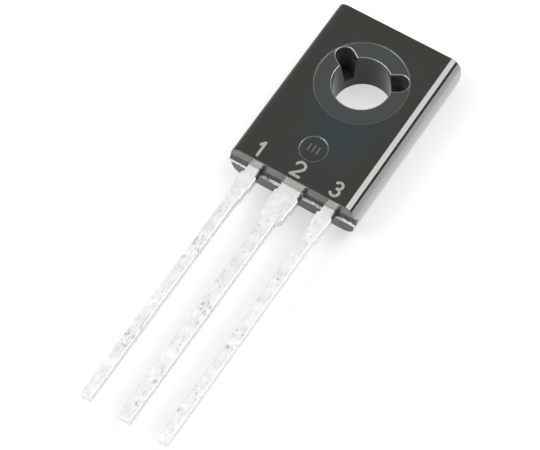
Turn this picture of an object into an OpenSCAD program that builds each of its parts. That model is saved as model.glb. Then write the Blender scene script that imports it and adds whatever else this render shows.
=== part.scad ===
// NPN power transistor in a flat moulded case with one screw hole and three leads.
// Units are millimetres. The part lies on its bare metal back, which is the plane z = 0.
// The origin is where the axis of the screw hole meets that plane. +Z comes out of the
// marked front face, +Y points to the top end of the case, and the leads point to -Y.
// Seen from the front with the leads down, the leads are emitter, collector and base.

/* [Case] */
// Thickness of the case, from its back to its front face
case_t = 2.6; // [2.4:0.02:3.0]
// Width of the flat front face
front_w = 6.43; // [6.2:0.01:6.6]
// Width of the narrow bevel along each long edge of the front face
bevel_w = 0.245; // [0.1:0.005:0.35]
// Fall of that bevel
bevel_drop = 0.1; // [0.05:0.01:0.2]
// Width of the upper half of the case
upper_w = 7.47; // [7.3:0.01:7.6]
// Radius that rounds the upper half down to its flank
upper_r = 0.88; // [0.7:0.01:1.1]
// Width of the lower half of the case, at the parting line
lower_w = 7.53; // [7.4:0.01:7.7]
// Radius that rounds the lower half under to the back
lower_r = 0.8; // [0.6:0.01:1.0]
// Height of the line where the two mould halves meet
parting_z = 1.3; // [1.1:0.01:1.4]
// How far the lower half sits off towards the emitter's side, as the mould halves met
mould_shift = 0.04; // [0:0.005:0.1]
// From the hole's axis to the top end, at the front face
top_y = 3.735; // [3.5:0.005:4.0]
// From the hole's axis to the lead end, at the front face
lead_end_y = 6.732; // [6.6:0.002:7.0]
// Draft angle of both ends, and of the lower half's flanks
draft_deg = 5; // [2:0.5:7]
// How far the lower half stands proud of the upper half at the top end
top_proud = 0.03; // [0:0.01:0.1]
// From the hole's axis to the lower half's lead end, at the parting line
lower_end_y = 6.79; // [6.7:0.01:7.0]

/* [Screw hole] */
// Diameter of the screw hole
hole_d = 3.14; // [2.9:0.02:3.3]
// Diameter of the shallow washer seat around it
seat_d = 5.0; // [4.4:0.05:5.4]
// Depth of the washer seat
seat_depth = 0.04; // [0.02:0.01:0.1]
// Width of the two round-ended notches beside the hole, at the front face
notch_w = 1.0; // [0.7:0.02:1.1]
// Width of a notch at its floor
notch_floor_w = 0.5; // [0.3:0.02:0.7]
// How far a notch reaches from the hole's axis, at the front face
notch_reach = 2.47; // [2.2:0.01:2.5]
// Angle of each notch above the line across the case
notch_deg = 32; // [20:1:45]
// Resin left between a notch's floor and the metal plate
notch_skin = 0.2; // [0.1:0.05:0.5]

/* [Lead end] */
// Height of the top of the groove between the leads
groove_top_z = 1.95; // [1.85:0.01:2.1]
// How far the groove is set in from the lower half's end
groove_in = 0.1; // [0.04:0.01:0.2]
// Resin on each side of a lead that the groove leaves standing
block_margin = 0.04; // [0.02:0.01:0.1]
// Height of the thin edge left along the parting line
flash_t = 0.07; // [0.04:0.01:0.12]
// How far that edge stands out
flash_out = 0.04; // [0.02:0.01:0.08]

/* [Pin mark] */
// Diameter of the round mark that the mould's ejector pin leaves
pin_mark_d = 1.5; // [1.0:0.05:1.8]
// Depth of that mark
pin_mark_depth = 0.03; // [0.02:0.01:0.06]
// From the hole's axis to the mark
pin_mark_y = 4.65; // [4.0:0.05:5.0]

/* [Leads] */
// Distance between neighbouring leads
pitch = 2.29; // [2.2:0.01:2.4]
// Thickness of the sheet that the leads and the plate are stamped from
sheet_t = 0.51; // [0.4:0.01:0.56]
// Length of the leads outside the case
lead_len = 15.25; // [14.5:0.05:16.6]
// Width of an outer lead
outer_lead_w = 0.6; // [0.52:0.01:0.66]
// Width of the middle lead
middle_lead_w = 0.74; // [0.6:0.01:0.9]
// Width of an outer lead where it leaves the case
outer_exit_w = 0.67; // [0.62:0.01:0.72]
// Width of the middle lead where it leaves the case
middle_exit_w = 1.19; // [1.1:0.01:1.25]
// How far a cut tie bar's stub stands out on each side of a lead
tie_stub = 0.11; // [0.04:0.01:0.14]
// From the case to the stub
stub_start = 0.4; // [0.3:0.01:0.5]
// Length of the stub along the lead
stub_len = 0.8; // [0.6:0.01:0.9]
// How far the shoulder below the stub stands out on each side
shoulder_out = 0.04; // [0.01:0.01:0.06]
// From the case to the end of the shoulder
shoulder_len = 1.9; // [1.7:0.05:2.2]
// Length of the taper from the shoulder to the lead
taper_len = 0.3; // [0.2:0.02:0.5]
// Slope along the lead at each end of the stub
stub_slope = 0.08; // [0.04:0.01:0.1]
// Corner cut at the tip of a lead
tip_cut = 0.06; // [0.02:0.01:0.1]

/* [Heat plate] */
// Width of the metal that shows in the back
plate_w = 4.9; // [4.4:0.05:5.2]
// From the hole's axis to the plate's top edge in the back
plate_top_y = 3.05; // [2.6:0.05:3.2]
// From the hole's axis to where the plate bends up to the middle lead
plate_end_y = 4.75; // [4.6:0.05:4.9]
// How far the plate's buried rim stands out past what shows
rim_out = 0.2; // [0.1:0.02:0.25]
// Depth of that rim below the back
rim_z = 0.22; // [0.15:0.01:0.3]
// Resin wall between the screw hole and the hole in the plate
lining_t = 0.34; // [0.25:0.01:0.4]
// Width of the bend
bend_w = 1.3; // [1.1:0.05:1.4]
// Length of the bend along the case
bend_run = 0.8; // [0.6:0.05:0.9]

/* [Bond posts] */
// Width of a bond post, the inner end of an outer lead
post_w = 1.75; // [1.5:0.05:1.8]
// Length of a bond post
post_len = 1.05; // [0.8:0.05:1.2]
// From the hole's axis to the inner edge of a bond post
post_y = 5.15; // [5.0:0.05:5.3]
// From the middle of the case to the near side of a bond post
post_x = 1.15; // [1.0:0.05:1.3]

/* [Silicon] */
// Side of the square transistor die
die_w = 1.7; // [1.2:0.05:1.9]
// Thickness of the die
die_t = 0.2; // [0.15:0.01:0.3]
// From the hole's axis to the middle of the die
die_y = 3.3; // [3.1:0.05:3.4]
// Thickness of the solder under the die
solder_t = 0.05; // [0.03:0.01:0.08]
// How far the solder shows around the die
solder_out = 0.06; // [0.02:0.01:0.1]

/* [Bond wires] */
// Diameter of a bond wire
wire_d = 0.2; // [0.1:0.01:0.25]
// From the middle of the die to each wire's foot, across the case
foot_x = 0.4; // [0.2:0.05:0.5]
// From the near side of a post to the wire's foot on it
foot_in = 0.45; // [0.3:0.05:0.8]
// Height of a wire's arch
wire_arch = 0.45; // [0.4:0.05:0.6]

/* [Hidden] */

over = 1;               // extra reach of a cutting shape past the face that it opens
round_fn = 128;         // facets of round shapes in the preview
wire_sides = 8;         // sides of a bond wire
wire_steps = 18;        // rings along a bond wire

resin = "#3c3e3c";
tin = "#dcdcd8";
silicon = "#5c6474";
solder = "#a2a4a6";
aluminium = "#d0d2d6";

lead_z = parting_z;                         // underside of the leads
lead_top = lead_z + sheet_t;
hole_r = hole_d / 2;
plate_hole_r = hole_r + lining_t;
case_end = lead_end_y + (case_t - lead_top) * tan(draft_deg);   // where the leads come out
groove_y = lower_end_y - groove_in;         // floor of the groove
solder_top = sheet_t + solder_t;
die_top = solder_top + die_t;
far = 2 * (lead_end_y + lead_len);          // longer than the whole part

// A shape drawn in x and z, run along y from y0 to y1
module along_y(y0, y1) {
    translate([0, y1, 0]) rotate([90, 0, 0]) linear_extrude(y1 - y0) children();
}

// A shape drawn in y and z, run across x over the given width
module across_x(width) {
    translate([-width / 2, 0, 0]) rotate([90, 0, 90]) linear_extrude(width) children();
}

// ---------------------------------------------------------------- case

// Section of the upper half: flat front, bevelled edges, rounded flanks
module upper_section() {
    half = upper_w / 2;
    front_half = front_w / 2;
    edge_x = front_half + bevel_w;
    edge_z = case_t - bevel_drop;
    centre_x = half - upper_r;
    centre_z = edge_z - sqrt(pow(upper_r, 2) - pow(edge_x - centre_x, 2));
    foot_z = edge_z - (half - edge_x) * bevel_drop / bevel_w;
    intersection() {
        union() {
            for (side = [-1, 1]) translate([side * centre_x, centre_z]) circle(upper_r, $fn = round_fn);
            translate([-centre_x, 0]) square([2 * centre_x, case_t]);
            translate([-half, 0]) square([upper_w, centre_z]);
        }
        polygon([[-half, parting_z], [half, parting_z], [half, foot_z],
                 [front_half, case_t], [-front_half, case_t], [-half, foot_z]]);
    }
}

// Section of the lower half: flat back, rounded under to drafted flanks
module lower_section() {
    half = lower_w / 2;
    centre_x = half - (lower_r + (parting_z - lower_r) * sin(draft_deg)) / cos(draft_deg);
    flank_x = centre_x + lower_r * cos(draft_deg);
    flank_z = lower_r - lower_r * sin(draft_deg);
    translate([-mould_shift, 0]) intersection() {
        union() {
            for (side = [-1, 1]) translate([side * centre_x, lower_r]) circle(lower_r, $fn = round_fn);
            polygon([[-half, parting_z], [half, parting_z], [flank_x, flank_z],
                     [centre_x, 0], [-centre_x, 0], [-flank_x, flank_z]]);
        }
        translate([-half, 0]) square([lower_w, parting_z]);
    }
}

module upper_half() {
    lean = (case_t - parting_z) * tan(draft_deg);
    intersection() {
        along_y(-far, far) upper_section();
        across_x(far) polygon([[-lead_end_y, case_t], [top_y, case_t],
                               [top_y + lean, parting_z], [-lead_end_y - lean, parting_z]]);
    }
}

module lower_half() {
    upper_lean = (case_t - parting_z) * tan(draft_deg);
    lower_lean = parting_z * tan(draft_deg);
    top_end = top_y + upper_lean + top_proud;
    intersection() {
        along_y(-far, far) lower_section();
        across_x(far) polygon([[-lower_end_y, parting_z], [top_end, parting_z],
                               [top_end - lower_lean, 0], [lower_lean - lower_end_y, 0]]);
    }
}

// Stretches of the lead end between and beside the leads, each as [from, to] across the case
module end_gaps(y0, y1, z0, z1) {
    outer = outer_exit_w / 2 + block_margin;
    middle = middle_exit_w / 2 + block_margin;
    for (gap = [[-lower_w, -pitch - outer], [-pitch + outer, -middle],
                [middle, pitch - outer], [pitch + outer, lower_w]])
        translate([gap[0], -y1, z0]) cube([gap[1] - gap[0], y1 - y0, z1 - z0]);
}

// Thin edge of resin along the parting line of the lead end
module flash() {
    intersection() {
        end_gaps(groove_y - over, lower_end_y + flash_out, parting_z, parting_z + flash_t);
        along_y(-far, far) translate([-lower_w / 2 - mould_shift, 0]) square([lower_w, case_t]);
    }
}

// Two round-ended notches that run from the screw hole to the rim of the washer seat.
// Their walls lean in towards the floor.
module notches() {
    floor_z = sheet_t + notch_skin;
    height = case_t + over - floor_z;
    low = notch_floor_w / 2;
    high = low + (notch_w / 2 - low) * height / (case_t - floor_z);
    run = notch_reach - notch_w / 2;
    for (angle = [notch_deg, 180 - notch_deg])
        rotate([0, 0, angle]) translate([0, 0, floor_z]) {
            translate([run, 0, 0]) cylinder(h = height, r1 = low, r2 = high, $fn = round_fn);
            rotate([90, 0, 90]) linear_extrude(run)
                polygon([[-low, 0], [low, 0], [high, height], [-high, height]]);
        }
}

module moulded_body() {
    color(resin) difference() {
        union() {
            difference() {
                upper_half();
                end_gaps(groove_y, lower_end_y + over, parting_z, groove_top_z);
            }
            lower_half();
            flash();
        }
        translate([0, 0, -over]) cylinder(h = case_t + 2 * over, r = hole_r, $fn = round_fn);
        translate([0, 0, case_t - seat_depth]) cylinder(h = over, r = seat_d / 2, $fn = round_fn);
        notches();
        translate([0, -pin_mark_y, case_t - pin_mark_depth])
            cylinder(h = over, r = pin_mark_d / 2, $fn = round_fn);
        collector_metal(over);
        for (side = [-1, 1]) outer_metal(side);
        die_block();
        solder_pad();
        for (side = [-1, 1]) wire(side);
    }
}

// ---------------------------------------------------------------- leads

// Outline of a lead outside the case, from `inside` before the case's end to its tip
module leg_outline(exit_w, leg_w, inside) {
    stub_end = stub_start + stub_len;
    side = [
        [exit_w / 2, -inside],
        [exit_w / 2, stub_start],
        [exit_w / 2 + tie_stub, stub_start + stub_slope],
        [exit_w / 2 + tie_stub, stub_end],
        [exit_w / 2 + shoulder_out, stub_end + stub_slope],
        [exit_w / 2 + shoulder_out, shoulder_len],
        [leg_w / 2, shoulder_len + taper_len],
        [leg_w / 2, lead_len - tip_cut],
        [leg_w / 2 - tip_cut, lead_len],
    ];
    points = concat(side, [for (i = [len(side) - 1 : -1 : 0]) [-side[i][0], side[i][1]]]);
    polygon([for (p = points) [p[0], -case_end - p[1]]]);
}

// Emitter lead (side -1) or base lead (side 1) with its bond post
module outer_metal(side) {
    translate([side * pitch, 0, lead_z]) linear_extrude(sheet_t)
        leg_outline(outer_exit_w, outer_lead_w, case_end - post_y - post_len / 2);
    translate([side > 0 ? post_x : -post_x - post_w, -post_y - post_len, lead_z])
        cube([post_w, post_len, sheet_t]);
}

// Side view of the bend between the plate and the middle lead
module bend_profile() {
    bend_deg = atan(lead_z / bend_run);
    mitre = sheet_t * tan(bend_deg / 2);
    low_y = -plate_end_y;
    high_y = -plate_end_y - bend_run;
    polygon([[low_y + mitre, 0], [low_y, 0], [high_y, lead_z], [-case_end, lead_z],
             [-case_end, lead_top], [high_y + mitre, lead_top], [low_y + mitre, sheet_t]]);
}

// Heat plate, bend and middle lead, stamped as one piece.
// `below` carries the plate past the back, for the space that it takes up in the case.
module collector_metal(below = 0) {
    difference() {
        union() {
            translate([-plate_w / 2, -plate_end_y, -below])
                cube([plate_w, plate_end_y + plate_top_y, sheet_t + below]);
            translate([-plate_w / 2 - rim_out, -plate_end_y, rim_z])
                cube([plate_w + 2 * rim_out, plate_end_y + plate_top_y + rim_out, sheet_t - rim_z]);
        }
        translate([0, 0, -below - over])
            cylinder(h = sheet_t + below + 2 * over, r = plate_hole_r, $fn = round_fn);
    }
    across_x(bend_w) bend_profile();
    translate([0, 0, lead_z]) linear_extrude(sheet_t)
        leg_outline(middle_exit_w, middle_lead_w, case_end - plate_end_y - bend_run);
}

module collector_lead() {
    color(tin) collector_metal();
}

module emitter_lead() {
    color(tin) outer_metal(-1);
}

module base_lead() {
    color(tin) outer_metal(1);
}

// ---------------------------------------------------------------- silicon and wires

module die_block() {
    translate([-die_w / 2, -die_y - die_w / 2, solder_top]) cube([die_w, die_w, die_t]);
}

module solder_pad() {
    pad = die_w + 2 * solder_out;
    translate([-pad / 2, -die_y - pad / 2, sheet_t]) cube([pad, pad, solder_t]);
}

// Point of a wire's centre line, with t from 0 on the die to 1 on the post.
// Both ends lie level on their surface, where the wire is bonded.
function wire_point(side, t) =
    let (ease = t * t * (3 - 2 * t),
         flat = wire_d / 2 * cos(180 / wire_sides),
         x0 = side * foot_x, x1 = side * (post_x + foot_in),
         y0 = -die_y, y1 = -post_y - post_len / 2,
         z0 = die_top + flat, z1 = lead_top + flat)
    [x0 + (x1 - x0) * t, y0 + (y1 - y0) * t,
     z0 + (z1 - z0) * ease + wire_arch * pow(sin(180 * t), 2)];

// Ring of points around a wire's centre line, square to the line
function wire_ring(side, i) =
    let (t = i / wire_steps,
         before = wire_point(side, max(0, t - 1 / wire_steps)),
         after = wire_point(side, min(1, t + 1 / wire_steps)),
         run = after - before,
         level = i == 0 || i == wire_steps ? [run[0], run[1], 0] : run,
         ahead = level / norm(level),
         across = cross(ahead, [0, 0, 1]) / norm(cross(ahead, [0, 0, 1])),
         up = cross(across, ahead))
    [for (k = [0 : wire_sides - 1])
        let (angle = (k + 0.5) * 360 / wire_sides)
        wire_point(side, t) + wire_d / 2 * (cos(angle) * across + sin(angle) * up)];

module wire(side) {
    rings = [for (i = [0 : wire_steps]) for (p = wire_ring(side, i)) p];
    last = wire_steps * wire_sides;
    walls = [for (i = [0 : wire_steps - 1]) for (k = [0 : wire_sides - 1])
        let (a = i * wire_sides + k, b = i * wire_sides + (k + 1) % wire_sides)
        [a, a + wire_sides, b + wire_sides, b]];
    ends = [[for (k = [0 : wire_sides - 1]) k],
            [for (k = [wire_sides - 1 : -1 : 0]) last + k]];
    polyhedron(rings, concat(walls, ends));
}

module silicon_die() {
    color(silicon) die_block();
}

module die_solder() {
    color(solder) solder_pad();
}

module emitter_wire() {
    color(aluminium) wire(-1);
}

module base_wire() {
    color(aluminium) wire(1);
}

moulded_body();
collector_lead();
emitter_lead();
base_lead();
silicon_die();
die_solder();
emitter_wire();
base_wire();
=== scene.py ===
"""NPN power transistor in a flat moulded case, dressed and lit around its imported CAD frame.

The frame is in metres. Shapes are modelled in millimetres in the same axes, and every piece is
scaled to metres when it is finished. +Z comes out of the front face, +Y points to the top end of
the case and the leads point to -Y. The origin is on the back, on the axis of the screw hole.
"""
import math
import random

import bmesh
import bpy
from mathutils import Matrix, Vector, noise


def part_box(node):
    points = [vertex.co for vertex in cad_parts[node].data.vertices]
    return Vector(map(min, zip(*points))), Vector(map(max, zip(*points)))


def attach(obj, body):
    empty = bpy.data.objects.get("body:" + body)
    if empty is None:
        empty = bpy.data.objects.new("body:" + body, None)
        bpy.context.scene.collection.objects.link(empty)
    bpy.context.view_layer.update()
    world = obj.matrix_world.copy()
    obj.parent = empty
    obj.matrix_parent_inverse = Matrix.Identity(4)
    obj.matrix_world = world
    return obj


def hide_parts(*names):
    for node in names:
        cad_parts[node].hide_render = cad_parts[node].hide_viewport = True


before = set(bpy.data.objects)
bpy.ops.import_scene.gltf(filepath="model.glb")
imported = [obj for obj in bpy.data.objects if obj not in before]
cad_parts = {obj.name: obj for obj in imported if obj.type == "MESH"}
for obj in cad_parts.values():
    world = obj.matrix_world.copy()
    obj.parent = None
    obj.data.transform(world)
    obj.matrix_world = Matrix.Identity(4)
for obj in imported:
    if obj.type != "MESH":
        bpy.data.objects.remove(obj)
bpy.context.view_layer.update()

MM = 0.001                       # one millimetre, in metres


def node_box(name):
    """Lowest and highest corners of a CAD node, in millimetres."""
    low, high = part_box(name)
    return low / MM, high / MM


# ------------------------------------------------------------------ sizes, in millimetres

case_low, case_high = node_box("moulded_body")
lead_low, lead_high = node_box("emitter_lead")

CASE_T = case_high.z
PARTING_Z = lead_low.z           # the leads leave the case on the parting line
LEAD_TOP = lead_high.z
PITCH = 2.29                     # from one lead to the next

FRONT_HALF = 3.215               # half width of the flat front face
BEVEL_W = 0.245                  # bevels along both sides of it
BEVEL_DROP = 0.1
UPPER_HALF = case_high.x         # half widths of the two halves, and the rounding of their flanks
UPPER_R = 0.88
LOWER_HALF = 3.765
LOWER_R = 0.8
LOWER_X = LOWER_HALF + case_low.x   # the mould's lower half sits off to one side
DRAFT_DEG = 5                    # how far the mould's walls lean
DRAFT = math.tan(math.radians(DRAFT_DEG))
TOP_Y = 3.735                    # from the hole's axis to the top end, at the front face
TOP_PROUD = 0.03                 # the lower half stands out this far at the top end
END_Y = 6.732                    # to the lead end, at the front face
LOWER_END_Y = 6.79               # to the lower half's lead end, at the parting line
CASE_END = END_Y + (CASE_T - LEAD_TOP) * DRAFT   # where the leads come out

HOLE_R = 1.57                    # screw hole
SEAT_R = 2.5                     # washer seat
SEAT_DEPTH = 0.04
NOTCH_HALF = 0.5                 # half width of a notch at the front face
NOTCH_FLOOR_HALF = 0.25
NOTCH_REACH = 2.47               # from the hole's axis to a notch's end
NOTCH_DEG = 32
NOTCH_FLOOR = 0.71               # height of its floor
WALL_MARGIN = 0.05               # even stretch left at each end of a cutter's straight wall

GROOVE_TOP_Z = 1.95              # groove between the leads, above the parting line
GROOVE_Y = LOWER_END_Y - 0.1
OUTER_EXIT = 0.335               # half width of a lead where it leaves the case
MIDDLE_EXIT = 0.595
BLOCK_MARGIN = 0.04              # resin left standing on each side of a lead
FLASH_LOW = 0.1                  # the torn edge hangs this far below the parting line
FLASH_HIGH = 0.03
FLASH_OUT = 0.04                 # and stands out up to this far
FLASH_ROOT = 0.05                # from this far inside the case
FLASH_STEP = 0.055               # from one point of the torn edge to the next
FLASH_SEED = 11
WING_OUT = 3.84                  # the groove's ends flare out to here
WING_IN = {-1: 2.7, 1: 3.62}     # and are filled from here, on each side
WING_ROOT = (3.72, 6.3)          # a wing's corners, as x and -y: its root inside the case,
WING_FOOT = (WING_OUT, LOWER_END_Y - 0.03)          # its edge at the parting line
WING_HEAD = (UPPER_HALF - 0.02, GROOVE_Y + 0.05)    # and its edge at the groove's top
STUB_START = 0.4                 # from the case to a tie bar's stub
WEB_T = 0.03                     # resin left along a lead as far as the stub
WEB_H = 0.28
WEB_FILM = 0.015                 # and as a film under the lead

PIN_MARK_R = 0.75                # mark of the mould's ejector pin
PIN_MARK_Y = -4.65
PIN_MARK_DEPTH = 0.03
TALLY_X = (-0.26, 0, 0.26)       # short raised bars in it
TALLY_FOOT = (0.06, 0.25)        # half width and length of a bar at its foot, and at its top
TALLY_TOP = (0.02, 0.22)
TALLY_DROP = 0.005               # from the front face down to a bar's top
SLOPE = 0.05                     # width of the sloped wall of a shallow recess
# The section of that wall, from below: shares of the slope's width and of the recess's depth
SLOPE_PROFILE = [(-0.5, -1), (-0.25, -0.85), (0.25, -0.15), (0.5, 0), (1.0, 0.3)]

PAST = 1                         # how far the cutters reach past the case
EDGE_R = 0.035                   # rounding of the moulded edges
EDGE_DEG = 15                    # edges of the case that turn by more than this are rounded
ROUND_SEGMENTS = 3               # faces across any rounded edge
RIM_R = 0.065                    # rounding of the rims of the hole and its notches
RIM_STEPS = 5
NARROW_SHARE = 0.45              # most of a narrow face that one rounding may take
SHARP_DEG = 42                   # faces that meet at a wider angle keep a sharp edge
ROUND_STEPS = 144                # sides of a round hole
ARC_STEPS = 26                   # sides of each rounded flank and notch end
WELD = 0.0005                    # CAD points closer than this become one
FLAT_DEG = 0.5                   # CAD faces that turn by less than this become one

LEAD_EDGE_R = 0.035              # rounding that stamping leaves on the leads
LEAD_EDGE_DEG = 30               # at edges that turn by more than this
LEAD_EVEN = 0.2                  # stretch beside the case that stays even
LEAD_STEP = 0.35                 # length of the stretches that a lead is divided into
LEAD_WAVE = 0.004                # how far the tinned faces wander from flat
WAVE_STRETCH = 0.8               # waves per millimetre along a lead, against those across it
WAVE_SEED = 5

DIGIT_H = 0.85                   # pin numbers printed on the front face
DIGIT_W = 0.52
DIGIT_Y = -6.48
INK_W = 0.15
INK_T = 0.012
INK_ROOT = 0.002                 # how far the ink reaches into the face

# Zones of the case, in the order of its material slots
GRAINED, POLISHED, END, DULL, SEAT, STEP, WALL, RIM, PIT, BAND, TORN = range(11)
# Least component of the normal of a face that is level, faces a side or leans to a side
LEVEL, FACING, LEANING = 0.9, 0.5, 0.1

# ------------------------------------------------------------------ settings of studio and camera

FLOOR_COLOUR = (0.8, 0.8, 0.8)
FLOOR_GLOW = 0.52                # share of plain white, where the camera or a reflection sees it
FLOOR_HALF = 0.6                 # half its side, in metres, as are the next three
FLOOR_AT = (0, -0.009, -0.00001)
LAMP_TARGET = (0, -0.006, 0)
LAMP_DISTANCE = 0.35
# Each lamp's name, the direction it stands in, its size in metres and its radiance
LAMPS = [
    ("key", (0.40, 0.39, 0.83), 0.21, 5.2),
    ("fill", (-0.54, -0.36, 0.76), 0.24, 4.2),
]
STUDIO_LEVEL = 0.65              # radiance of the studio all round
# Soft patches laid over it: direction, inner and outer radius in degrees, radiance
STUDIO_PATCHES = [
    ((-0.5, 0.37, 0.75), 40, 62, 0.76),
    ((0.92, 0.39, 0.0), 20, 34, 0.08),
]

CAMERA_DEG = (36.83, 60.83, -4.58)    # azimuth, elevation and roll
CAMERA_TARGET = (-0.356, -8.404, 0)   # in millimetres, as is the distance
CAMERA_DISTANCE = 136.467
CAMERA_LENS = 176.74                  # focal length, for a sensor of this width
SENSOR_WIDTH = 36

# ------------------------------------------------------------------ mesh tools


def add_object(name, data):
    obj = bpy.data.objects.new(name, data)
    bpy.context.scene.collection.objects.link(obj)
    return obj


def solid_from(name, bm, zone=None):
    """An object from a bmesh, with its faces turned outwards and given to one zone of the case."""
    bmesh.ops.recalc_face_normals(bm, faces=bm.faces)
    for face in bm.faces:
        face.material_index = zone or 0
    mesh = bpy.data.meshes.new(name)
    bm.to_mesh(mesh)
    bm.free()
    if zone is not None:
        for material in case_materials:
            mesh.materials.append(material)
    return add_object(name, mesh)


def loft(name, rings, zone=None):
    """A closed solid through a row of rings that have the same number of points."""
    bm = bmesh.new()
    rows = [[bm.verts.new(p) for p in ring] for ring in rings]
    bm.faces.new(rows[0])
    bm.faces.new(rows[-1])
    for a, b in zip(rows, rows[1:]):
        for i in range(len(a)):
            j = (i + 1) % len(a)
            bm.faces.new((a[i], a[j], b[j], b[i]))
    return solid_from(name, bm, zone)


def column(name, outline, z0, z1, zone=None):
    """A plan outline of (x, y) points raised from z0 to z1."""
    return loft(name, [[(x, y, z) for x, y in outline] for z in (z0, z1)], zone)


def disc_outline(radius, y=0.0):
    turn = 2 * math.pi / ROUND_STEPS
    return [(radius * math.cos(i * turn), y + radius * math.sin(i * turn))
            for i in range(ROUND_STEPS)]


def box_outline(x0, x1, y0, y1):
    return [(x0, y0), (x1, y0), (x1, y1), (x0, y1)]


def arc(cx, cz, radius, from_deg, to_deg, steps=ARC_STEPS):
    """Points along an arc, both ends included."""
    points = []
    for i in range(steps + 1):
        angle = math.radians(from_deg + (to_deg - from_deg) * i / steps)
        points.append((cx + radius * math.cos(angle), cz + radius * math.sin(angle)))
    return points


def apply_modifiers(obj):
    """Makes what an object's modifiers show its own mesh."""
    depsgraph = bpy.context.evaluated_depsgraph_get()
    mesh = bpy.data.meshes.new_from_object(obj.evaluated_get(depsgraph))
    obj.modifiers.clear()
    old = obj.data
    obj.data = mesh
    bpy.data.meshes.remove(old)


def combine(obj, tool, operation):
    """Joins the tool to obj, or cuts it out of obj, and removes the tool."""
    modifier = obj.modifiers.new(operation, "BOOLEAN")
    modifier.operation = operation
    modifier.solver = "MANIFOLD"
    modifier.object = tool
    apply_modifiers(obj)
    mesh = tool.data
    bpy.data.objects.remove(tool)
    bpy.data.meshes.remove(mesh)


def level_zone(obj, zone):
    """Gives the level faces of a case solid to one zone."""
    for face in obj.data.polygons:
        if abs(face.normal.z) > LEVEL:
            face.material_index = zone
    return obj


def round_edges(obj, radius, angle_deg):
    """Rounds every outer edge that turns by more than the given angle.

    Beside a narrow face the rounding is cut down to what the face has room for.
    """
    bm = bmesh.new()
    bm.from_mesh(obj.data)
    weight = bm.edges.layers.float.new("bevel_weight_edge")
    for edge in bm.edges:
        if len(edge.link_faces) == 2 and edge.is_convex:
            if edge.calc_face_angle() > math.radians(angle_deg):
                room = min(face.calc_area() for face in edge.link_faces) / edge.calc_length()
                edge[weight] = min(1, NARROW_SHARE * room / radius)
    bm.to_mesh(obj.data)
    bm.free()
    modifier = obj.modifiers.new("round", "BEVEL")
    modifier.width = radius
    modifier.segments = ROUND_SEGMENTS
    modifier.limit_method = "WEIGHT"
    modifier.use_clamp_overlap = False
    modifier.miter_outer = "MITER_ARC"
    apply_modifiers(obj)
    obj.data.attributes.remove(obj.data.attributes["bevel_weight_edge"])


def finish_piece(obj, materials, replaced=()):
    """Smooths a piece, scales it to metres and hands it to the frame.

    The walls of the hole and its notches are smoothed apart from what they meet.
    """
    bm = bmesh.new()
    bm.from_mesh(obj.data)
    for face in bm.faces:
        face.smooth = True
    for edge in bm.edges:
        zones = {face.material_index for face in edge.link_faces}
        corner = edge.is_manifold and edge.calc_face_angle() > math.radians(SHARP_DEG)
        edge.smooth = not corner and (len(zones) == 1 or not zones & {WALL, PIT})
    bm.to_mesh(obj.data)
    bm.free()
    weighted = obj.modifiers.new("normals", "WEIGHTED_NORMAL")
    weighted.keep_sharp = True
    apply_modifiers(obj)
    obj.data.transform(Matrix.Scale(MM, 4))
    zones = [polygon.material_index for polygon in obj.data.polygons]
    obj.data.materials.clear()
    for material in materials:
        obj.data.materials.append(material)
    obj.data.polygons.foreach_set("material_index", zones)
    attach(obj, "root")
    if replaced:
        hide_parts(*replaced)


def cad_copy(name, node, zone=None):
    """A copy of a CAD node in millimetres, with its flat faces whole."""
    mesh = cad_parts[node].data.copy()
    mesh.transform(Matrix.Scale(1 / MM, 4))
    bm = bmesh.new()
    bm.from_mesh(mesh)
    bpy.data.meshes.remove(mesh)
    bmesh.ops.remove_doubles(bm, verts=bm.verts, dist=WELD)
    bmesh.ops.dissolve_limit(bm, angle_limit=math.radians(FLAT_DEG), verts=bm.verts,
                             edges=bm.edges)
    return solid_from(name, bm, zone)


# ------------------------------------------------------------------ moulded case


def upper_section():
    """Section of the upper half in x and z: flat front, bevels, rounded flanks."""
    centre_x = UPPER_HALF - UPPER_R
    edge_x = FRONT_HALF + BEVEL_W
    edge_z = CASE_T - BEVEL_DROP
    rise = math.sqrt(UPPER_R ** 2 - (edge_x - centre_x) ** 2)
    start_deg = math.degrees(math.atan2(rise, edge_x - centre_x))
    flank = arc(centre_x, edge_z - rise, UPPER_R, start_deg, 0)
    right = [(FRONT_HALF, CASE_T)] + flank + [(UPPER_HALF, PARTING_Z)]
    return right + [(-x, z) for x, z in reversed(right)]


def lower_section():
    """Section of the lower half: drafted flanks rounded under to a flat back."""
    draft = math.radians(DRAFT_DEG)
    reach = (LOWER_R + (PARTING_Z - LOWER_R) * math.sin(draft)) / math.cos(draft)
    flank = arc(LOWER_HALF - reach, LOWER_R, LOWER_R, -DRAFT_DEG, -90)
    right = [(LOWER_HALF, PARTING_Z)] + flank
    both = right + [(-x, z) for x, z in reversed(right)]
    return [(x + LOWER_X, z) for x, z in both]


def case_half(name, section, lead_end, top_end, level_z, is_upper):
    """A half of the case. Its ends are given at level_z and lean with the mould's draft."""
    sign = 1 if is_upper else -1
    near = [(x, -lead_end - sign * abs(z - level_z) * DRAFT, z) for x, z in section]
    away = [(x, top_end + sign * abs(z - level_z) * DRAFT, z) for x, z in section]
    half = loft(name, [near, away], GRAINED)
    for face in half.data.polygons:
        if face.normal.y < -FACING:
            face.material_index = END if is_upper else SEAT
        elif face.normal.x > LEANING and face.normal.z > LEVEL:
            face.material_index = END
        elif face.normal.x > LEANING:
            face.material_index = POLISHED
        elif face.normal.x < -FACING or face.normal.y > FACING:
            face.material_index = DULL
    return half


def end_gaps():
    """Stretches of the lead end between and beside the leads."""
    outer = OUTER_EXIT + BLOCK_MARGIN
    middle = MIDDLE_EXIT + BLOCK_MARGIN
    return [(-WING_OUT, -PITCH - outer), (-PITCH + outer, -middle),
            (middle, PITCH - outer), (PITCH + outer, WING_OUT)]


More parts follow.
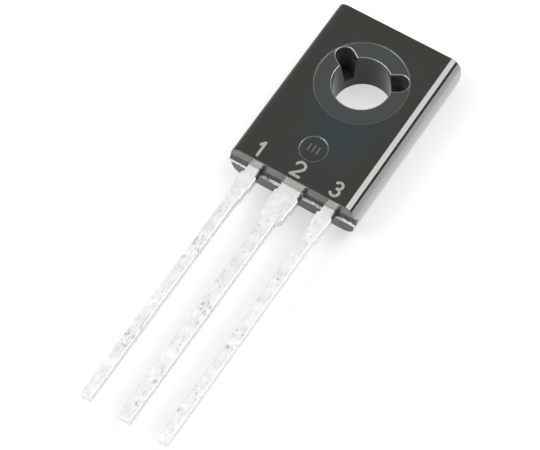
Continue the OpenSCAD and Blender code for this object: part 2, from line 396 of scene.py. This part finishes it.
def notch_ring(angle_deg, z, out):
    """Plan at height z of a round-ended notch that starts in the middle of the screw hole."""
    share = (z - NOTCH_FLOOR) / (CASE_T - NOTCH_FLOOR)
    half = NOTCH_FLOOR_HALF + (NOTCH_HALF - NOTCH_FLOOR_HALF) * share + out
    ahead = Vector((math.cos(math.radians(angle_deg)), math.sin(math.radians(angle_deg)), 0))
    across = Vector((-ahead.y, ahead.x, 0))
    end = ahead * (NOTCH_REACH - NOTCH_HALF) + Vector((0, 0, z))
    points = [Vector((0, 0, z)) - half * across]
    for i in range(ARC_STEPS + 1):
        turn = math.pi * i / ARC_STEPS
        points.append(end + half * (ahead * math.sin(turn) - across * math.cos(turn)))
    points.append(Vector((0, 0, z)) + half * across)
    return points


def rimmed_cutter(name, ring, floor_z, zone):
    """Cutter from floor_z upwards that rounds its rim out onto the washer seat.

    `ring` gives the cutter's outline at a height, set out by a distance.
    """
    seat_z = CASE_T - SEAT_DEPTH
    rim_z = seat_z - RIM_R
    rings = [ring(z, 0) for z in (floor_z, NOTCH_FLOOR + WALL_MARGIN, rim_z - WALL_MARGIN)]
    for i in range(RIM_STEPS + 1):
        turn = math.pi / 2 * i / RIM_STEPS
        rings.append(ring(seat_z - RIM_R * (1 - math.sin(turn)), RIM_R * (1 - math.cos(turn))))
    rings.append(ring(CASE_T + PAST, RIM_R))
    tool = loft(name, rings, zone)
    for face in tool.data.polygons:
        if rim_z < face.center.z < seat_z:
            face.material_index = RIM
    return tool


def dish(name, radius, depth, y, floor_zone):
    """Cutter for a shallow round recess in the front face, with a softly sloped wall."""
    rings = [[(px, py, CASE_T + depth * rise) for px, py in disc_outline(radius + SLOPE * out, y)]
             for out, rise in SLOPE_PROFILE]
    tool = loft(name, rings, STEP)
    for face in tool.data.polygons:
        if len(face.vertices) > 4:
            face.material_index = floor_zone
    return tool


def flash_outline(x0, x1, chance):
    """Plan of the thin torn edge that the mould leaves along one gap."""
    steps = round((x1 - x0) / FLASH_STEP)
    points = [(x1, FLASH_ROOT - LOWER_END_Y), (x0, FLASH_ROOT - LOWER_END_Y)]
    for i in range(steps + 1):
        out = FLASH_OUT * chance.uniform(0.1, 1.0)
        points.append((x0 + (x1 - x0) * i / steps, -LOWER_END_Y - out))
    return points


def add_flash(case):
    """Torn resin at the lead end: along the parting line, at its ends, beside and under the leads."""
    chance = random.Random(FLASH_SEED)
    for x0, x1 in end_gaps():
        outline = flash_outline(x0, x1, chance)
        flash = column("flash", outline, PARTING_Z - FLASH_LOW, PARTING_Z + FLASH_HIGH, TORN)
        combine(case, flash, "UNION")
    root_x, root_y = WING_ROOT
    for side in (-1, 1):
        rings = []
        for (edge_x, edge_y), z in ((WING_FOOT, PARTING_Z), (WING_HEAD, GROOVE_TOP_Z)):
            rings.append([(side * x, -y, z) for x, y in (
                (WING_IN[side], edge_y), (WING_IN[side], root_y), (root_x, root_y), (edge_x, edge_y))])
        combine(case, loft("wing", rings, BAND), "UNION")
    for x, half in ((-PITCH, OUTER_EXIT), (0, MIDDLE_EXIT), (PITCH, OUTER_EXIT)):
        outline = box_outline(x - half - WEB_T, x + half + WEB_T, -CASE_END - STUB_START, -GROOVE_Y)
        web = column("web", outline, PARTING_Z - WEB_FILM, PARTING_Z + WEB_H, BAND)
        combine(case, web, "UNION")


def cut_openings(case):
    """Cuts the washer seat, the screw hole and the two notches that open into it."""
    combine(case, dish("seat", SEAT_R, SEAT_DEPTH, 0, SEAT), "DIFFERENCE")
    def bore_ring(z, out):
        return [(x, y, z) for x, y in disc_outline(HOLE_R + out)]
    combine(case, rimmed_cutter("bore", bore_ring, -PAST, WALL), "DIFFERENCE")
    for angle in (NOTCH_DEG, 180 - NOTCH_DEG):
        def one_notch(z, out, angle=angle):
            return notch_ring(angle, z, out)
        combine(case, rimmed_cutter("notch", one_notch, NOTCH_FLOOR, PIT), "DIFFERENCE")


def add_pin_mark(case):
    """Sinks the ejector pin's mark, with three plain bars raised in it."""
    combine(case, dish("mark", PIN_MARK_R, PIN_MARK_DEPTH, PIN_MARK_Y, GRAINED), "DIFFERENCE")
    for x in TALLY_X:
        rings = []
        for z, (half_x, half_y) in ((CASE_T - 2 * PIN_MARK_DEPTH, TALLY_FOOT),
                                    (CASE_T - TALLY_DROP, TALLY_TOP)):
            outline = box_outline(x - half_x, x + half_x, PIN_MARK_Y - half_y, PIN_MARK_Y + half_y)
            rings.append([(px, py, z) for px, py in outline])
        # The bars take the rims' paler resin: a painted glint on their edges.
        combine(case, loft("tally", rings, RIM), "UNION")


def moulded_case():
    """The whole moulding, with room inside it for every other CAD node."""
    case = case_half("moulded_case", upper_section(), END_Y, TOP_Y, CASE_T, True)
    top_end = TOP_Y + (CASE_T - PARTING_Z) * DRAFT + TOP_PROUD
    lower = case_half("lower_half", lower_section(), LOWER_END_Y, top_end, PARTING_Z, False)
    combine(case, lower, "UNION")
    for x0, x1 in end_gaps():
        outline = box_outline(x0, x1, -LOWER_END_Y - PAST, -GROOVE_Y)
        groove = column("groove", outline, PARTING_Z, GROOVE_TOP_Z, BAND)
        combine(case, level_zone(groove, TORN), "DIFFERENCE")
    round_edges(case, EDGE_R, EDGE_DEG)
    cut_openings(case)
    add_pin_mark(case)
    add_flash(case)
    for node in sorted(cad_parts):
        if node != "moulded_body":
            combine(case, cad_copy("cavity", node, POLISHED), "DIFFERENCE")
    finish_piece(case, case_materials, ["moulded_body"])


# ------------------------------------------------------------------ leads


def lead(name, node, material):
    """A stamped and tinned piece: the CAD node with rounded edges and slightly uneven faces."""
    obj = cad_copy(name, node)
    round_edges(obj, LEAD_EDGE_R, LEAD_EDGE_DEG)
    bm = bmesh.new()
    bm.from_mesh(obj.data)
    tip_y = node_box(node)[0].y
    start = -LOWER_END_Y - LEAD_EVEN
    for i in range(int((start - tip_y) / LEAD_STEP)):
        bmesh.ops.bisect_plane(bm, geom=bm.verts[:] + bm.edges[:] + bm.faces[:],
                               plane_co=(0, start - i * LEAD_STEP, 0), plane_no=(0, 1, 0))
    for vert in bm.verts:
        if vert.co.y < start:
            shift = noise.noise_vector(Vector((vert.co.x, vert.co.y * WAVE_STRETCH, vert.co.z)))
            vert.co.x += shift.x * LEAD_WAVE
            vert.co.z += shift.z * LEAD_WAVE
    bm.to_mesh(obj.data)
    bm.free()
    finish_piece(obj, [material], [node])


# ------------------------------------------------------------------ printed pin numbers


def stroke_outline(path):
    """Outline of an ink stroke along a path, with round ends."""
    half = INK_W / 2
    points = [Vector(p) for p in path]
    left, right = [], []
    for i, point in enumerate(points):
        ahead = (points[min(i + 1, len(points) - 1)] - points[max(i - 1, 0)]).normalized()
        across = Vector((-ahead.y, ahead.x)) * half
        left.append(point + across)
        right.append(point - across)
    cap_steps = 8
    first = (points[1] - points[0]).normalized() * half
    last = (points[-1] - points[-2]).normalized() * half
    end_cap = [points[-1] + Matrix.Rotation(math.pi / 2 - math.pi * k / cap_steps, 2) @ last
               for k in range(1, cap_steps)]
    start_cap = [points[0] + Matrix.Rotation(-math.pi / 2 - math.pi * k / cap_steps, 2) @ first
                 for k in range(1, cap_steps)]
    return [tuple(p) for p in left + end_cap + right[::-1] + start_cap]


def digit_strokes(digit):
    """Centre lines of a plain digit that is DIGIT_W wide and DIGIT_H high."""
    w, h = DIGIT_W, DIGIT_H
    bowl = w / 2
    if digit == 1:
        return [[(w * 0.2, h * 0.76), (w * 0.55, h)], [(w * 0.55, h), (w * 0.55, 0)]]
    if digit == 2:
        top = arc(bowl, h - bowl, bowl, 165, -38)
        return [top + [(0, 0)], [(0, 0), (w, 0)]]
    small = h * 0.23
    large = h - 2 * small
    upper = arc(bowl, h - small, small, 150, -90, 16)
    lower = arc(bowl - 0.02, large / 2, large / 2, 90, -150, 18)
    return [upper, lower]


def pin_number(digit, x, material):
    """A pin's number in ink on the front face, read with the leads pointing down."""
    number = None
    for path in digit_strokes(digit):
        placed = [(x - DIGIT_W / 2 + px, DIGIT_Y + py) for px, py in path]
        stroke = column("pin_number_%d" % digit, stroke_outline(placed), CASE_T - INK_ROOT,
                        CASE_T + INK_T)
        if number is None:
            number = stroke
        else:
            combine(number, stroke, "UNION")
    finish_piece(number, [material])


# ------------------------------------------------------------------ materials


# Where a Mix node keeps its factor, its two colours and its resulting colour
MIX_COLOUR_INPUTS = (0, 6, 7)
MIX_COLOUR_OUTPUT = 2


class Shader:
    """A small builder for one procedural material."""

    def __init__(self, name):
        self.material = bpy.data.materials.new(name)
        self.material.use_nodes = True
        self.tree = self.material.node_tree
        self.surface = self.tree.nodes["Principled BSDF"]
        coordinates = self.tree.nodes.new("ShaderNodeTexCoord")
        mapping = self.tree.nodes.new("ShaderNodeMapping")
        mapping.inputs["Scale"].default_value = (1 / MM, 1 / MM, 1 / MM)
        self.tree.links.new(coordinates.outputs["Object"], mapping.inputs["Vector"])
        self.millimetres = mapping.outputs["Vector"]

    def set(self, **values):
        """Sets the surface's own sockets, with _ for a space in a name."""
        for key, value in values.items():
            self.surface.inputs[key.replace("_", " ")].default_value = value

    def link(self, output, socket):
        self.tree.links.new(output, self.surface.inputs[socket])

    def noise(self, scale, detail=3.0, roughness=0.5, stretch=(1, 1, 1)):
        """Cloudy noise, with `scale` features to the millimetre."""
        mapping = self.tree.nodes.new("ShaderNodeMapping")
        mapping.inputs["Scale"].default_value = stretch
        self.tree.links.new(self.millimetres, mapping.inputs["Vector"])
        node = self.tree.nodes.new("ShaderNodeTexNoise")
        node.inputs["Scale"].default_value = scale
        node.inputs["Detail"].default_value = detail
        node.inputs["Roughness"].default_value = roughness
        self.tree.links.new(mapping.outputs["Vector"], node.inputs["Vector"])
        return node.outputs["Fac"]

    def spread(self, centre, reach):
        """Distance in plan from a point (x, y), as a share of a reach in x and y."""
        mapping = self.tree.nodes.new("ShaderNodeMapping")
        mapping.inputs["Location"].default_value = (-centre[0] / reach[0], -centre[1] / reach[1], 0)
        mapping.inputs["Scale"].default_value = (1 / reach[0], 1 / reach[1], 0)
        self.tree.links.new(self.millimetres, mapping.inputs["Vector"])
        length = self.tree.nodes.new("ShaderNodeVectorMath")
        length.operation = "LENGTH"
        self.tree.links.new(mapping.outputs["Vector"], length.inputs[0])
        return length.outputs["Value"]

    def ramp(self, value, stops):
        """Maps a value to grey levels or colours, given as (position, level or colour)."""
        node = self.tree.nodes.new("ShaderNodeValToRGB")
        elements = node.color_ramp.elements
        while len(elements) < len(stops):
            elements.new(0.5)
        for element, (position, level) in zip(elements, stops):
            element.position = position
            colour = (level,) * 3 if isinstance(level, (int, float)) else level
            element.color = (*colour, 1)
        self.tree.links.new(value, node.inputs["Fac"])
        return node.outputs["Color"]

    def mix(self, factor, a, b, blend="MIX"):
        """Mixes two colour outputs, by a number or by another output."""
        node = self.tree.nodes.new("ShaderNodeMix")
        node.data_type = "RGBA"
        node.blend_type = blend
        factor_in, a_in, b_in = (node.inputs[i] for i in MIX_COLOUR_INPUTS)
        if isinstance(factor, bpy.types.NodeSocket):
            self.tree.links.new(factor, factor_in)
        else:
            factor_in.default_value = factor
        self.tree.links.new(a, a_in)
        self.tree.links.new(b, b_in)
        return node.outputs[MIX_COLOUR_OUTPUT]

    def bump(self, height, strength, distance):
        """Bumps of a height in millimetres."""
        node = self.tree.nodes.new("ShaderNodeBump")
        node.inputs["Strength"].default_value = strength
        node.inputs["Distance"].default_value = distance * MM
        self.tree.links.new(height, node.inputs["Height"])
        self.tree.links.new(node.outputs["Normal"], self.surface.inputs["Normal"])


def resin_colour(shader):
    """Dark moulding compound: bluish in the middle of the front, warmer towards its rim."""
    tone = shader.mix(0.35, shader.spread((0.4, -2.0), (2.8, 5)), shader.noise(0.5, 3))
    return shader.ramp(tone, [(0.42, (0.0078, 0.0152, 0.0172)), (0.76, (0.0107, 0.0119, 0.0078))])


def grained_resin():
    """The fine-grained front, left bevel and back."""
    shader = Shader("moulding_compound")
    shader.set(IOR=1.5)
    shader.link(resin_colour(shader), "Base Color")
    shader.link(shader.ramp(shader.noise(6, 4, 0.6), [(0.3, 0.2), (0.7, 0.3)]), "Roughness")
    shader.bump(shader.noise(22, 3, 0.6), 0.25, 0.004)
    return shader.material


def polished_resin(name, ior, coat_ior):
    """Glossy resin, for the right flank and again for the lead end and the right bevel."""
    shader = Shader(name)
    shader.set(IOR=ior, Coat_Weight=1.0, Coat_IOR=coat_ior, Coat_Roughness=0.06)
    shader.link(resin_colour(shader), "Base Color")
    shader.link(shader.ramp(shader.noise(5, 4, 0.6), [(0.3, 0.1), (0.7, 0.2)]), "Roughness")
    shader.bump(shader.noise(9, 3, 0.6), 0.1, 0.004)
    return shader.material


def dull_resin():
    """The matt left flank and top end."""
    shader = Shader("dull_compound")
    shader.set(IOR=1.4)
    cloud = shader.noise(4, 4, 0.6)
    colour = shader.ramp(cloud, [(0.3, (0.022, 0.023, 0.021)), (0.7, (0.03, 0.031, 0.029))])
    shader.link(colour, "Base Color")
    shader.link(shader.ramp(shader.noise(8, 3), [(0.3, 0.45), (0.7, 0.6)]), "Roughness")
    shader.bump(shader.noise(22, 3, 0.6), 0.25, 0.004)
    return shader.material


def seat_resin():
    """The washer seat and the low facets of the lead end, a little paler than the front."""
    shader = Shader("seat_compound")
    shader.set(IOR=1.6)
    cloud = shader.noise(0.6, 3)
    colour = shader.ramp(cloud, [(0.3, (0.018, 0.0205, 0.0205)), (0.7, (0.015, 0.021, 0.021))])
    shader.link(colour, "Base Color")
    shader.link(shader.ramp(shader.noise(5, 4, 0.6), [(0.3, 0.2), (0.7, 0.28)]), "Roughness")
    shader.bump(shader.noise(22, 3, 0.6), 0.2, 0.004)
    return shader.material


def step_resin():
    """The low sloped wall around the washer seat and the pin mark."""
    shader = Shader("step_compound")
    shader.set(IOR=1.75, Coat_Weight=1.0, Coat_IOR=1.75, Coat_Roughness=0.25)
    blotches = shader.noise(3, 3, 0.5)
    shader.link(shader.ramp(blotches, [(0.38, (0.014, 0.016, 0.016)), (0.6, 0.03)]), "Base Color")
    shader.link(shader.ramp(blotches, [(0.3, 0.25), (0.7, 0.35)]), "Roughness")
    return shader.material


def wall_resin():
    """The drawn wall of the screw hole, faintly streaked along the hole, and coloured darker than the
    front as painted shade deep in the hole.
    """
    shader = Shader("wall_compound")
    shader.set(IOR=1.4)
    streaks = shader.noise(5, 3, 0.6, (1, 1, 0.15))
    # Painted shade: this colour is set darker than the front's resin to stand for the shade inside the
    # hole. The streaks along the hole are the wall's own.
    shader.link(shader.ramp(streaks, [(0.3, 0.003), (0.7, 0.008)]), "Base Color")
    shader.link(shader.ramp(streaks, [(0.3, 0.08), (0.7, 0.16)]), "Roughness")
    return shader.material


def rim_resin():
    """Rims of the hole and its notches, and the raised bars: the front's resin, coloured paler here as
    a painted glint along these edges, under a glossier coat.
    """
    shader = Shader("rim_painted_glint")
    shader.set(IOR=2.0, Coat_Weight=1.0, Coat_IOR=2.0, Coat_Roughness=0.22)
    blotches = shader.noise(5, 4, 0.65)
    # Painted glint: the rims and bars are the same resin as the front, given a paler colour where they
    # catch the lamps.
    colour = shader.ramp(blotches, [(0.38, (0.02, 0.021, 0.02)), (0.6, (0.06, 0.062, 0.06))])
    shader.link(colour, "Base Color")
    shader.link(shader.ramp(blotches, [(0.3, 0.3), (0.7, 0.4)]), "Roughness")
    return shader.material


def pit_resin():
    """Dull, unpolished resin deep in the notches."""
    shader = Shader("pit_compound")
    shader.set(IOR=1.4)
    shader.link(shader.ramp(shader.noise(3, 4), [(0.3, 0.018), (0.7, 0.045)]), "Base Color")
    shader.link(shader.ramp(shader.noise(8, 3), [(0.3, 0.5), (0.7, 0.75)]), "Roughness")
    return shader.material


def band_resin():
    """Rough resin in upright streaks: the groove of the lead end, its wings and the webs."""
    shader = Shader("streaked_compound")
    shader.set(IOR=1.5)
    streaks = shader.noise(7, 4, 0.65, (1, 1, 0.12))
    colour = shader.ramp(streaks, [(0.35, (0.012, 0.012, 0.011)), (0.65, (0.09, 0.09, 0.085))])
    shader.link(colour, "Base Color")
    shader.link(shader.ramp(streaks, [(0.3, 0.4), (0.7, 0.65)]), "Roughness")
    shader.bump(streaks, 0.5, 0.02)
    return shader.material


def torn_resin():
    """Pale, dusty resin: the torn flash, and the groove's top and floor."""
    shader = Shader("torn_compound")
    dust = shader.noise(4.5, 5, 0.7)
    colour = shader.ramp(dust, [(0.38, (0.2, 0.19, 0.175)), (0.5, (0.86, 0.85, 0.82))])
    shader.link(colour, "Base Color")
    shader.link(shader.ramp(dust, [(0.3, 0.5), (0.7, 0.8)]), "Roughness")
    shader.bump(dust, 0.5, 0.02)
    return shader.material


def ink_material():
    """Pale tan ink, a little uneven."""
    shader = Shader("ink")
    patches = shader.noise(7, 4, 0.6)
    colour = shader.ramp(patches, [(0.3, (0.2, 0.19, 0.16)), (0.6, (0.29, 0.275, 0.235))])
    shader.link(colour, "Base Color")
    shader.link(shader.ramp(patches, [(0.3, 0.5), (0.7, 0.65)]), "Roughness")
    return shader.material


def tin_material():
    """Satin tin plate, almost white and finely mottled, with dull specks away from the case."""
    shader = Shader("tin_plate")
    shader.set(Metallic=0.85)
    grain = (1, 0.6, 1)
    mottle = shader.ramp(shader.noise(8, 4, 0.7, grain), [(0.38, 0.72), (0.52, 0.83)])
    away = shader.ramp(shader.spread((0, -LOWER_END_Y), (100, 5)), [(0.3, 0.0), (0.45, 1.0)])
    patches = shader.ramp(shader.noise(0.7, 2), [(0.5, 0.0), (0.62, 1.0)])
    worn = shader.mix(1.0, patches, away, "MULTIPLY")
    specks = shader.ramp(shader.noise(8, 4, 0.65, grain), [(0.36, 0.5), (0.43, 1.0)])
    dulled = shader.mix(1.0, mottle, specks, "MULTIPLY")
    shader.link(shader.mix(worn, mottle, dulled), "Base Color")
    shader.link(shader.ramp(shader.noise(1.8, 4), [(0.3, 0.28), (0.7, 0.42)]), "Roughness")
    shader.bump(shader.noise(8, 4, 0.65, (1, 0.5, 1)), 0.3, 0.008)
    return shader.material


def plain_detail_material(name, colour, metallic, roughness, scale):
    """Finish of a piece that is sealed inside the case."""
    shader = Shader(name)
    shader.set(Metallic=metallic)
    darker = tuple(c * 0.8 for c in colour)
    shader.link(shader.ramp(shader.noise(scale), [(0.3, darker), (0.7, colour)]), "Base Color")
    grain = shader.ramp(shader.noise(scale * 2), [(0.3, roughness * 0.8), (0.7, roughness)])
    shader.link(grain, "Roughness")
    return shader.material


def dress_sealed_nodes():
    """Gives the CAD nodes that are sealed inside the case their own finishes."""
    finishes = {
        "silicon_die": plain_detail_material("silicon", (0.11, 0.13, 0.17), 0.6, 0.2, 3),
        "die_solder": plain_detail_material("solder", (0.42, 0.43, 0.44), 1.0, 0.5, 4),
        "emitter_wire": plain_detail_material("bond_wire", (0.72, 0.73, 0.75), 1.0, 0.3, 5),
    }
    finishes["base_wire"] = finishes["emitter_wire"]
    for node, material in finishes.items():
        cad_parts[node].data.materials.clear()
        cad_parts[node].data.materials.append(material)


# ------------------------------------------------------------------ studio


def add_floor():
    """A pale sheet that keeps its shadows, lifted towards white where it is seen or mirrored."""
    bm = bmesh.new()
    bmesh.ops.create_grid(bm, x_segments=1, y_segments=1, size=FLOOR_HALF)
    floor = solid_from("floor", bm)
    floor.location = FLOOR_AT
    material = bpy.data.materials.new("floor")
    material.use_nodes = True
    tree = material.node_tree
    tree.nodes.remove(tree.nodes["Principled BSDF"])
    diffuse = tree.nodes.new("ShaderNodeBsdfDiffuse")
    diffuse.inputs["Color"].default_value = (*FLOOR_COLOUR, 1)
    glow = tree.nodes.new("ShaderNodeEmission")
    glow.inputs["Color"].default_value = (1, 1, 1, 1)
    glow.inputs["Strength"].default_value = 1.0
    path = tree.nodes.new("ShaderNodeLightPath")
    seen = tree.nodes.new("ShaderNodeMath")
    seen.operation = "MAXIMUM"
    tree.links.new(path.outputs["Is Camera Ray"], seen.inputs[0])
    tree.links.new(path.outputs["Is Glossy Ray"], seen.inputs[1])
    share = tree.nodes.new("ShaderNodeMath")
    share.operation = "MULTIPLY"
    share.inputs[1].default_value = FLOOR_GLOW
    tree.links.new(seen.outputs[0], share.inputs[0])
    mix = tree.nodes.new("ShaderNodeMixShader")
    tree.links.new(share.outputs[0], mix.inputs["Fac"])
    tree.links.new(diffuse.outputs[0], mix.inputs[1])
    tree.links.new(glow.outputs[0], mix.inputs[2])
    tree.links.new(mix.outputs[0], tree.nodes["Material Output"].inputs["Surface"])
    floor.data.materials.append(material)


def add_world():
    """A plain studio with one bright and one dark side, on a white background."""
    world = bpy.data.worlds.new("studio")
    bpy.context.scene.world = world
    world.use_nodes = True
    tree = world.node_tree
    coordinates = tree.nodes.new("ShaderNodeTexCoord")
    level = None
    for direction, inner_deg, outer_deg, radiance in STUDIO_PATCHES:
        facing = tree.nodes.new("ShaderNodeVectorMath")
        facing.operation = "DOT_PRODUCT"
        facing.inputs[1].default_value = Vector(direction).normalized()
        tree.links.new(coordinates.outputs["Generated"], facing.inputs[0])
        patch = tree.nodes.new("ShaderNodeMapRange")
        patch.interpolation_type = "SMOOTHSTEP"
        patch.inputs["From Min"].default_value = math.cos(math.radians(outer_deg))
        patch.inputs["From Max"].default_value = math.cos(math.radians(inner_deg))
        tree.links.new(facing.outputs["Value"], patch.inputs["Value"])
        mix = tree.nodes.new("ShaderNodeMix")
        tree.links.new(patch.outputs["Result"], mix.inputs["Factor"])
        if level is None:
            mix.inputs["A"].default_value = STUDIO_LEVEL
        else:
            tree.links.new(level, mix.inputs["A"])
        mix.inputs["B"].default_value = radiance
        level = mix.outputs["Result"]
    path = tree.nodes.new("ShaderNodeLightPath")
    seen = tree.nodes.new("ShaderNodeMix")
    tree.links.new(path.outputs["Is Camera Ray"], seen.inputs["Factor"])
    tree.links.new(level, seen.inputs["A"])
    seen.inputs["B"].default_value = 1.0
    tree.links.new(seen.outputs["Result"], tree.nodes["Background"].inputs["Strength"])
    tree.nodes["Background"].inputs["Color"].default_value = (1, 1, 1, 1)


def add_softbox(name, direction, size, radiance):
    """A square soft lamp that looks at the middle of the part."""
    lamp = bpy.data.lights.new(name, "AREA")
    lamp.shape = "SQUARE"
    lamp.size = size
    lamp.energy = radiance * math.pi * size * size
    obj = add_object(name, lamp)
    ahead = Vector(direction).normalized()
    obj.location = Vector(LAMP_TARGET) + ahead * LAMP_DISTANCE
    obj.rotation_euler = ahead.to_track_quat("Z", "Y").to_euler()


def add_camera():
    """A long lens that looks down on the front, from the side of the base lead."""
    azimuth, elevation, roll = (math.radians(angle) for angle in CAMERA_DEG)
    back = Vector((math.sin(azimuth) * math.cos(elevation),
                   -math.cos(azimuth) * math.cos(elevation), math.sin(elevation)))
    level = Vector((0, 0, 1)).cross(back).normalized()
    upright = back.cross(level)
    right = math.cos(roll) * level + math.sin(roll) * upright
    up = math.cos(roll) * upright - math.sin(roll) * level
    camera = bpy.data.cameras.new("camera")
    camera.sensor_width = SENSOR_WIDTH
    camera.lens = CAMERA_LENS
    camera.clip_start = MM
    obj = add_object("camera", camera)
    matrix = Matrix((right, up, back)).transposed().to_4x4()
    matrix.translation = Vector(CAMERA_TARGET) * MM + back * CAMERA_DISTANCE * MM
    obj.matrix_world = matrix
    bpy.context.scene.camera = obj


# ------------------------------------------------------------------ the scene

bpy.context.scene.view_settings.view_transform = "Standard"
case_materials = [grained_resin(), polished_resin("flank_compound", 2.2, 2.2),
                  polished_resin("end_compound", 1.58, 1.6), dull_resin(), seat_resin(),
                  step_resin(), wall_resin(), rim_resin(), pit_resin(), band_resin(),
                  torn_resin()]
moulded_case()
noise.seed_set(WAVE_SEED)
tin = tin_material()
lead("emitter_leg", "emitter_lead", tin)
lead("collector_plate_and_leg", "collector_lead", tin)
lead("base_leg", "base_lead", tin)
ink = ink_material()
for digit in (1, 2, 3):
    pin_number(digit, (digit - 2) * PITCH, ink)
dress_sealed_nodes()
add_floor()
add_world()
for lamp in LAMPS:
    add_softbox(*lamp)
add_camera()
